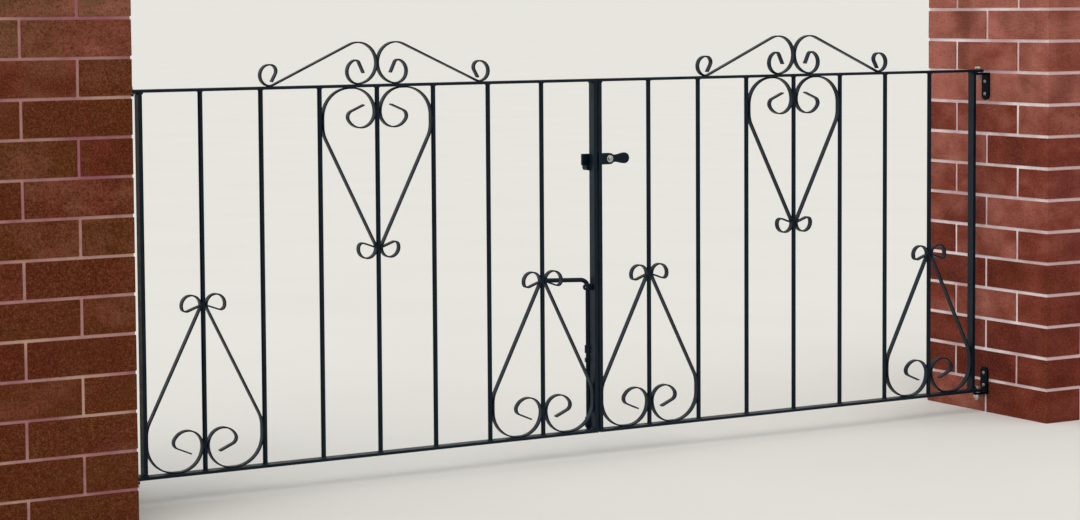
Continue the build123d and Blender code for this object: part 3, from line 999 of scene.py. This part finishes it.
@dataclass
class WeldedLeaf:
    """The weld beads of one leaf, where its bars, stiles and scrolls touch.

    The values whose names start with off say how far a bead's middle lies from what it is laid on.
    """

    side: Side
    finishes: Finishes
    bar_radius: float = 5 * MM
    bars: int = 7
    strip: float = 12 * MM
    foot_from_bar: float = 61.6 * MM
    curl_from_rail: float = 51.9 * MM
    side_from_rail: float = 70.9 * MM
    tip_from_rail: float = 338.0 * MM
    finial_touch: float = 44.5 * MM
    finial_foot: float = 246.0 * MM
    touch: Bead = Bead(9 * MM, 1.8 * MM)
    side_touch: Bead = Bead(11 * MM, 1.8 * MM)
    short: Bead = Bead(8 * MM, 1.8 * MM)
    across: Bead = Bead(19 * MM, 3.0 * MM)
    plate_end: Bead = Bead(10 * MM, 1.4 * MM)
    plate_side: Bead = Bead(22 * MM, 1.4 * MM)
    keeper: Bead = Bead(22 * MM, 2.3 * MM)
    eye: Bead = Bead(13 * MM, 1.6 * MM)
    guide: Bead = Bead(9 * MM, 1.6 * MM)
    off_strip: float = 0.2 * MM
    off_stile: float = 0.3 * MM
    off_bar: float = 4.2 * MM
    off_rail: float = 1.2 * MM
    off_corner: tuple[float, float] = (0.6 * MM, 0.8 * MM)
    off_plate: tuple[float, float] = (1.2 * MM, 4.5 * MM)
    off_plate_side: float = 1.0 * MM
    off_keeper: tuple[float, float] = (5.0 * MM, 9 * MM)
    keeper_slant: Point = (0.0, 0.35, -1.0)
    off_eye: float = 0.5 * MM
    off_guide: float = 4 * MM
    ripple: float = 0.12
    ripples: float = 9.0
    fullness: float = 1.35
    blunt: float = 0.12
    least: float = 0.3
    lump: float = 0.05
    lumps: float = 350.0
    lumps_apart: tuple[float, float] = (40.0, 10.0)

    def __post_init__(self) -> None:
        """Reads the leaf's lines from the model."""
        name = self.side.value
        self.hinge_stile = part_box(f"{name}_hinge_stile")
        self.meeting_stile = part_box(f"{name}_meeting_stile")
        low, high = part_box(f"{name}_bars")
        first = low.x + self.bar_radius
        self.pitch = (high.x - self.bar_radius - first) / (self.bars - 1)
        self.lines = [first + self.pitch * number for number in range(self.bars)]
        self.floor, self.roof = low.z, high.z
        self.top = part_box(f"{name}_top_rail")[1].z
        self.piece = Piece(f"{name}_leaf_welds")

    def run(self, bead: Bead, along: Vector, centre: Point) -> None:
        """Lays a rippled bead.

        Args:
            bead: Its size.
            along: The way that it runs.
            centre: Its middle.
        """
        made = bmesh.ops.create_uvsphere(self.piece.mesh, u_segments=8, v_segments=9, radius=1.0)
        for vert in made["verts"]:
            x, y, z = vert.co
            ripple = 1.0 + self.ripple * math.cos(z * self.ripples)
            bulge = min(1.0, self.fullness * math.sqrt(max(0.0, 1.0 - z**2)) + self.blunt)
            wider = ripple * bulge / max(math.hypot(x, y), self.least)
            vert.co = (x * wider, y * wider, z)
        size = Matrix.Diagonal((bead.radius, bead.radius, bead.length / 2, 1.0))
        self.piece.settle(made, Matrix.Translation(centre) @ facing(along) @ size)

    def collar(self, x: float, z: float) -> None:
        """Lays a round bead about the end of a bar.

        Args:
            x: The bar's place.
            z: The face that the bar stands on.
        """
        mesh = self.piece.mesh
        spot = Matrix.Translation((self.bar_radius + self.off_stile, 0.0, 0.0)) @ facing(Axis.Y.vector)
        ring = bmesh.ops.create_circle(mesh, segments=6, radius=self.touch.radius, matrix=spot)["verts"]
        self.piece.spin(ring + edges_of(ring), steps=14)
        points = self.piece.island(ring[0])
        patch = Vector((x * self.lumps_apart[0], z * self.lumps_apart[1], 0.0))
        for vert in points:
            vert.co *= 1.0 + self.lump * noise.noise(patch + vert.co * self.lumps)
        bmesh.ops.recalc_face_normals(mesh, faces=faces_of(points))
        bmesh.ops.translate(mesh, vec=(x, 0.0, z), verts=points)

    def scroll(self, bar: int, base: float, way: int) -> None:
        """Lays the beads of a scroll pair.

        Args:
            bar: The number of the bar between the two scrolls.
            base: The face of the rail that they stand on or hang from.
            way: 1 where they stand and -1 where they hang.
        """
        centre = self.lines[bar]
        edge = self.strip / 2 + self.off_strip
        for mirror in (-1, 1):
            foot = centre + mirror * self.foot_from_bar
            own = centre + mirror * (self.bar_radius - self.off_strip)
            beyond = centre + mirror * (self.pitch - self.bar_radius + self.off_strip)
            depth = edge if bar + mirror in (-1, self.bars) else self.off_bar
            for front in (-1, 1):
                self.run(self.touch, Axis.X.vector, (foot, front * edge, base + way * self.off_rail))
                for height in (self.curl_from_rail, self.tip_from_rail):
                    self.run(self.touch, Axis.Z.vector, (own, front * self.off_bar, base + way * height))
                side = (beyond, front * depth, base + way * self.side_from_rail)
                self.run(self.side_touch, Axis.Z.vector, side)

    def crown(self) -> None:
        """Lays the beads of the finial scrolls on the top rail."""
        centre = self.lines[self.bars // 2]
        for depth in (-self.strip / 2 - self.off_strip, self.strip / 2 + self.off_strip):
            self.run(self.short, Axis.Z.vector, (centre, depth, self.top + self.finial_touch))
            for reach in (-self.finial_touch, -self.finial_foot, self.finial_touch, self.finial_foot):
                self.run(self.touch, Axis.X.vector, (centre + reach, depth, self.top + self.off_rail))

    def corners(self) -> None:
        """Lays the beads between the stiles and the rails."""
        beside, over = self.off_corner
        inward = -self.side.hand
        for (low, high), mirrors in ((self.hinge_stile, (-1, 1)), (self.meeting_stile, (inward,))):
            middle = (low.x + high.x) / 2
            for level, way in ((self.floor, 1), (self.roof, -1)):
                for front in (-1, 1):
                    spot = (middle, front * (high.y + self.off_stile), level + way * beside)
                    self.run(self.short, Axis.X.vector, spot)
                for mirror in mirrors:
                    face = high.x if mirror > 0 else low.x
                    spot = (face + mirror * beside, 0.0, level + way * over)
                    self.run(self.across, Axis.Y.vector, spot)

    def plate_beads(self) -> None:
        """Lays the beads that hold the latch's plate to the right leaf."""
        low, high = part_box("latch_plate")
        inset, depth = self.off_plate
        for level in (low.z, high.z):
            self.run(self.plate_end, Axis.Y.vector, (low.x + inset, depth, level))
        side = (low.x + self.off_plate_side, low.y, (low.z + high.z) / 2)
        self.run(self.plate_side, Axis.Z.vector, side)

    def keeper_beads(self) -> None:
        """Lays the beads that hold the keeper, the eye and the guides to the left leaf."""
        stile_low, stile_high = self.meeting_stile
        depth, lift = self.off_keeper
        spot = (stile_low.x - self.off_strip, depth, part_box("latch_keeper")[0].z + lift)
        self.run(self.keeper, Vector(self.keeper_slant), spot)
        low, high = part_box("drop_bolt_eye")
        self.run(self.eye, Axis.Z.vector, (stile_low.x - self.off_eye, low.y, (low.z + high.z) / 2))
        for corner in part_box("drop_bolt_guides"):
            spot = (stile_high.x - self.off_guide, stile_high.y + self.off_stile, corner.z)
            self.run(self.guide, Axis.X.vector, spot)

    def build(self) -> list[Object]:
        """Lays all the beads of the leaf.

        Returns:
            The piece.
        """
        for x in self.lines:
            self.collar(x, self.floor)
            self.collar(x, self.roof)
        self.scroll(0, self.floor, 1)
        self.scroll(self.bars - 1, self.floor, 1)
        self.scroll(self.bars // 2, self.roof, -1)
        self.crown()
        self.corners()
        if self.side is Side.RIGHT:
            self.plate_beads()
        else:
            self.keeper_beads()
        body = Body.LEFT_LEAF if self.side is Side.LEFT else Body.RIGHT_LEAF
        return [self.piece.finish(self.finishes.paint, body, Slot.PAINT, smooth=50.0)]


@dataclass
class HingeBolt:
    """A zinc hinge bolt: hexagon head, washer, threaded end and, at the foot, a nut."""

    side: Side
    level: Level
    finishes: Finishes
    flats: float = 17 * MM
    head: float = 6.4 * MM
    ease: float = 0.7 * MM
    seat: float = 0.5 * MM
    lug: float = 6 * MM
    washer: float = 1.5 * MM
    washer_radius: float = 10 * MM
    washer_ease: float = 0.35 * MM
    tab: float = 5 * MM
    radius: float = 5 * MM
    nut: float = 8 * MM
    pitch: float = 1.5 * MM
    groove: float = 0.7 * MM
    threaded: float = 11 * MM

    def thread(self, low: float, high: float) -> list[tuple[float, float]]:
        """Draws the threaded end, chamfered at its foot, and the plain shank over it.

        Args:
            low: The bolt's foot.
            high: The underside of the head.

        Returns:
            The radius and height of each corner.
        """
        outline = [(0.0, low), (self.radius - 2 * self.groove, low)]
        level = low + self.pitch / 2
        while level < low + self.threaded:
            outline += [(self.radius, level), (self.radius - self.groove, level + self.pitch / 2)]
            level += self.pitch
        return outline + [(self.radius, level), (self.radius, high), (0.0, high)]

    def build(self) -> list[Object]:
        """Builds the bolt.

        Returns:
            The piece that stands for it.
        """
        node = f"{self.side.value}_{self.level.value}_hinge_bolt"
        low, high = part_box(node)
        axis = Matrix.Translation(((low.x + high.x) / 2, 0.0, 0.0))
        piece = Piece(f"{node}_detail")
        head = high.z - self.head
        top = head - 2 * self.seat - self.lug
        foot = top - self.washer
        hexagons = [(head, self.head)]
        if self.level is Level.BOTTOM:
            hexagons.append((foot - self.tab - self.nut, self.nut))
        turn = Matrix.Rotation(math.pi / 6, 4, "Z")
        for base, height in hexagons:
            middle = axis @ Matrix.Translation((0.0, 0.0, base + height / 2)) @ turn
            piece.hexagon(self.flats / math.sqrt(3), height, middle, self.ease)
        piece.turned(self.thread(low.z, head), axis)
        rim, ease = self.washer_radius, self.washer_ease
        edge = [(rim - ease, foot), (rim, foot + ease), (rim, top - ease), (rim - ease, top)]
        piece.turned([(0.0, foot), *edge, (0.0, top)], axis, steps=28)
        made = piece.finish(self.finishes.zinc, Body.PIERS, Slot.ZINC, smooth=34.0)
        return [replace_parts(made, node)]


@dataclass
class BracketScrews:
    """Pan-head screws with a cross recess, two to each hinge bracket."""

    finishes: Finishes
    head_radius: float = 4.3 * MM
    head: float = 2.6 * MM
    pan: tuple[tuple[float, float], ...] = ((1.0, 0.0), (1.0, 0.35), (0.86, 0.72), (0.55, 0.95))
    shank: float = 2.9 * MM
    plate: float = 5 * MM
    length: float = 66 * MM
    inset: float = 15 * MM
    apart: float = 30 * MM
    arm: float = 4.8 * MM
    slit: float = 1.1 * MM
    recess_middle: float = 2.652 * MM
    seed: int = 3

    def cross(self) -> Object:
        """Makes the cutter for the recess.

        Returns:
            The cutter.
        """
        piece = Piece("recess_cutter")
        for size in ((self.arm, self.slit, self.head), (self.slit, self.arm, self.head)):
            piece.block(size, Matrix.Translation((0.0, 0.0, self.recess_middle)))
        return piece.bare()

    def one(self) -> Mesh:
        """Makes one screw about its own Z axis, its head's underside at the origin.

        Returns:
            Its mesh.
        """
        piece = Piece("bracket_screw")
        shank = [(0.0, -self.plate), (self.shank, -self.plate), (self.shank, 0.0)]
        pan = [(wide * self.head_radius, tall * self.head) for wide, tall in self.pan]
        piece.turned([*shank, *pan, (0.0, self.head)], Matrix.Identity(4), steps=18)
        blank = piece.bare()
        cutter = self.cross()
        cut = blank.modifiers.new("recess", "BOOLEAN")
        cut.operation = "DIFFERENCE"
        cut.object = cutter
        cut.solver = "EXACT"
        cut.use_self = True
        shaped = blank.evaluated_get(bpy.context.evaluated_depsgraph_get())
        screw = bpy.data.meshes.new_from_object(shaped)
        bpy.data.objects.remove(blank)
        bpy.data.objects.remove(cutter)
        return screw

    def build(self) -> list[Object]:
        """Sets the screws in the four brackets.

        Returns:
            The piece.
        """
        lot = random.Random(self.seed)
        screw = self.one()
        piece = Piece("bracket_screws")
        for side in Side:
            for level in Level:
                low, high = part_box(f"{side.value}_{level.value}_hinge_bracket")
                wall = low.x if side is Side.LEFT else high.x
                heel = low.z if level is Level.BOTTOM else high.z
                far = heel + level.way * (self.length - self.inset)
                for z in (far, far - level.way * self.apart):
                    known = set(piece.mesh.verts)
                    piece.mesh.from_mesh(screw)
                    fresh = [vert for vert in piece.mesh.verts if vert not in known]
                    turn = Matrix.Rotation(lot.uniform(0.0, math.pi), 4, "Z")
                    place = Matrix.Translation((wall + side.hand * self.plate, 0.0, z))
                    spot = place @ facing(Axis.X.vector * side.hand) @ turn
                    bmesh.ops.transform(piece.mesh, matrix=spot, verts=fresh)
        return [piece.finish(self.finishes.dull_zinc, Body.PIERS, Slot.ZINC, smooth=34.0)]


@dataclass
class LatchBolt:
    """The latch's pivot: a washer and a domed, hollow rivet head in front, a nut behind the lever."""

    finishes: Finishes
    washer: float = 1.5 * MM
    washer_radius: float = 8 * MM
    head: float = 3.5 * MM
    head_radius: float = 5.2 * MM
    head_crown: float = 0.7 * MM
    head_back: float = 0.9 * MM
    neck: float = 0.6 * MM
    stem_radius: float = 1.5 * MM
    stem_sunk: float = 0.5 * MM
    stem_ease: float = 0.2 * MM
    eye_radius: float = 3.6 * MM
    eye_depth: float = 2.6 * MM
    lip: float = 0.3 * MM
    shank: float = 4 * MM
    nut: float = 4.6 * MM
    nut_radius: float = 6.5 * MM
    nut_ease: float = 0.6 * MM
    tail: float = 0.9 * MM
    spacer_radius: float = 7 * MM
    gap: float = 0.3 * MM
    ease: float = 0.4 * MM

    def rivet(self, length: float) -> list[tuple[float, float]]:
        """Draws the rivet: the stem inside its hollow head, the head's dome and the shank.

        Args:
            length: The pivot's whole length.

        Returns:
            The radius and depth of each corner, from the front.
        """
        stem, eye, head, ease = self.stem_radius, self.eye_radius, self.head_radius, self.ease
        return [
            (0.0, self.stem_sunk),
            (stem - self.stem_ease, self.stem_sunk),
            (stem, self.stem_sunk + self.stem_ease),
            (stem, self.eye_depth),
            (eye, self.eye_depth),
            (eye, self.lip),
            (eye + self.lip, 0.0),
            (head - ease, self.head_crown),
            (head, 2 * self.head_crown),
            (head, self.head - self.head_back),
            (self.shank, self.head - self.neck),
            (self.shank, length - ease),
            (self.shank - ease, length),
            (0.0, length),
        ]

    def build(self) -> list[Object]:
        """Builds the pivot.

        Returns:
            The piece that stands for it.
        """
        low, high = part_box("latch_bolt")
        x, z = (low.x + high.x) / 2, (low.z + high.z) / 2
        piece = Piece("latch_bolt_detail")
        turn = facing(Axis.Y.vector)
        spot = Matrix.Translation((x, low.y, z)) @ turn
        piece.turned(self.rivet(high.y - low.y), spot, steps=24)
        front, back = self.head, self.head + self.washer
        rim, ease = self.washer_radius, self.ease
        edge = [(rim - ease, front), (rim, front + ease), (rim, back)]
        piece.turned([(0.0, front), *edge, (0.0, back)], spot, steps=28)
        wide = self.spacer_radius
        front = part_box("latch_plate")[1].y - low.y
        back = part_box("latch_lever")[0].y - low.y - self.gap
        piece.turned([(0.0, front), (wide, front), (wide, back), (0.0, back)], spot, steps=24)
        middle = Matrix.Translation((x, high.y - self.tail - self.nut / 2, z)) @ turn
        piece.hexagon(self.nut_radius, self.nut, middle, self.nut_ease)
        made = piece.finish(self.finishes.zinc, Body.RIGHT_LEAF, Slot.ZINC, smooth=34.0)
        return [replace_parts(made, "latch_bolt")]


@dataclass(frozen=True)
class Lamp:
    """A broad soft lamp: where its light comes from, its strength and its width in degrees."""

    name: str
    colour: Colour
    source: Point
    power: float
    spread: float

    def build(self) -> None:
        """Hangs the lamp."""
        data = bpy.data.lights.new(self.name, "SUN")
        data.energy = self.power
        data.angle = math.radians(self.spread)
        data.color = self.colour
        lamp = placed(self.name, data)
        lamp.rotation_mode = "QUATERNION"
        lamp.rotation_quaternion = Vector(self.source).to_track_quat("Z", "Y")


@dataclass
class Studio:
    """The floor, the light and the camera."""

    spot: Point = (-1.6295, -4.8297, 0.9999)
    yaw: float = -30.784
    pitch: float = 3.7583
    roll: float = -0.3720
    lens: float = 86.401
    sensor: float = 36.0
    shift: float = -0.08
    nearest: float = 0.1
    reach: float = 1500.0
    backdrop: Colour = (0.799, 0.783, 0.738)
    sky: Colour = (0.72, 0.725, 0.74)
    lamps: tuple[Lamp, ...] = (
        Lamp("broad_lamp", (1.0, 0.975, 0.94), (-0.42, -0.34, 0.84), 1.25, 60.0),
        Lamp("rim_lamp", (0.74, 0.88, 1.0), (-0.62, 0.72, 0.32), 0.35, 50.0),
    )

    def floor(self) -> None:
        """Lays the floor."""
        piece = Piece("floor")
        bmesh.ops.create_grid(piece.mesh, x_segments=1, y_segments=1, size=self.reach)
        made = piece.bare()
        made.data.materials.append(StudioFloor().build())

    def world(self) -> None:
        """Lights the scene softly all round, in front of a pale background."""
        world = bpy.data.worlds.new("studio")
        bpy.context.scene.world = world
        tree = Tree(world)
        rays = tree.add("LightPath")
        seen = tree.sums("MAXIMUM", rays["Is Camera Ray"], rays["Is Glossy Ray"])
        seen = tree.sums("MAXIMUM", seen, rays["Is Transmission Ray"])
        colours = (self.sky, self.backdrop)
        light, backdrop = (tree.add("Background", {"Color": colour})["Background"] for colour in colours)
        choice = tree.add("MixShader", {0: seen, 1: light, 2: backdrop})["Shader"]
        tree.add("OutputWorld", {"Surface": choice})

    def camera(self) -> None:
        """Sets the camera at the photograph's viewing angle."""
        data = bpy.data.cameras.new("camera")
        data.lens = self.lens
        data.sensor_width = self.sensor
        data.shift_y = self.shift
        data.clip_start = self.nearest
        data.clip_end = 4 * self.reach
        camera = placed("camera", data)
        aim = Euler((math.radians(90 - self.pitch), 0.0, math.radians(self.yaw))).to_matrix()
        turn = (aim @ Matrix.Rotation(math.radians(self.roll), 3, "Z")).to_4x4()
        camera.matrix_world = Matrix.Translation(self.spot) @ turn
        bpy.context.scene.camera = camera

    def build(self) -> None:
        """Builds the studio."""
        self.camera()
        self.floor()
        self.world()
        for lamp in self.lamps:
            lamp.build()
        bpy.context.scene.view_settings.view_transform = "Standard"


def dress(frame: dict, finishes: Finishes) -> None:
    """Gives each of the model's nodes the finish of its slot, and the brackets a darker copy of the paint,
    as painted shade.

    Args:
        frame: The loaded model.
        finishes: The materials.
    """
    for part in frame["record"]["subparts"]:
        node = frame["nodes"][part["node"]]
        material = finishes.of[Slot(part["material_slot"])]
        # The brackets get the darker copy of the paint, which is painted shade.
        if part["node"].endswith("bracket"):
            material = finishes.black
        if not node.material_slots:
            node.data.materials.append(material)
        for place in node.material_slots:
            place.material = material


def main() -> None:
    """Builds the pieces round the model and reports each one."""
    logging.basicConfig(level=logging.INFO, format="%(name)s: %(message)s")
    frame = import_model()
    finishes = Finishes()
    Studio().build()
    dress(frame, finishes)
    works: list[SubAssembly] = []
    for side in Side:
        works += [BrickPier(side, finishes), PierCap(side, finishes), WeldedLeaf(side, finishes)]
        works += [HingeBolt(side, level, finishes) for level in Level]
    works += [BracketScrews(finishes), LatchBolt(finishes)]
    for work in works:
        for piece in work.build():
            LOG.info("%s: %d faces", piece.name, len(piece.data.polygons))
    bpy.context.view_layer.update()


if __name__ == "__main__":
    main()
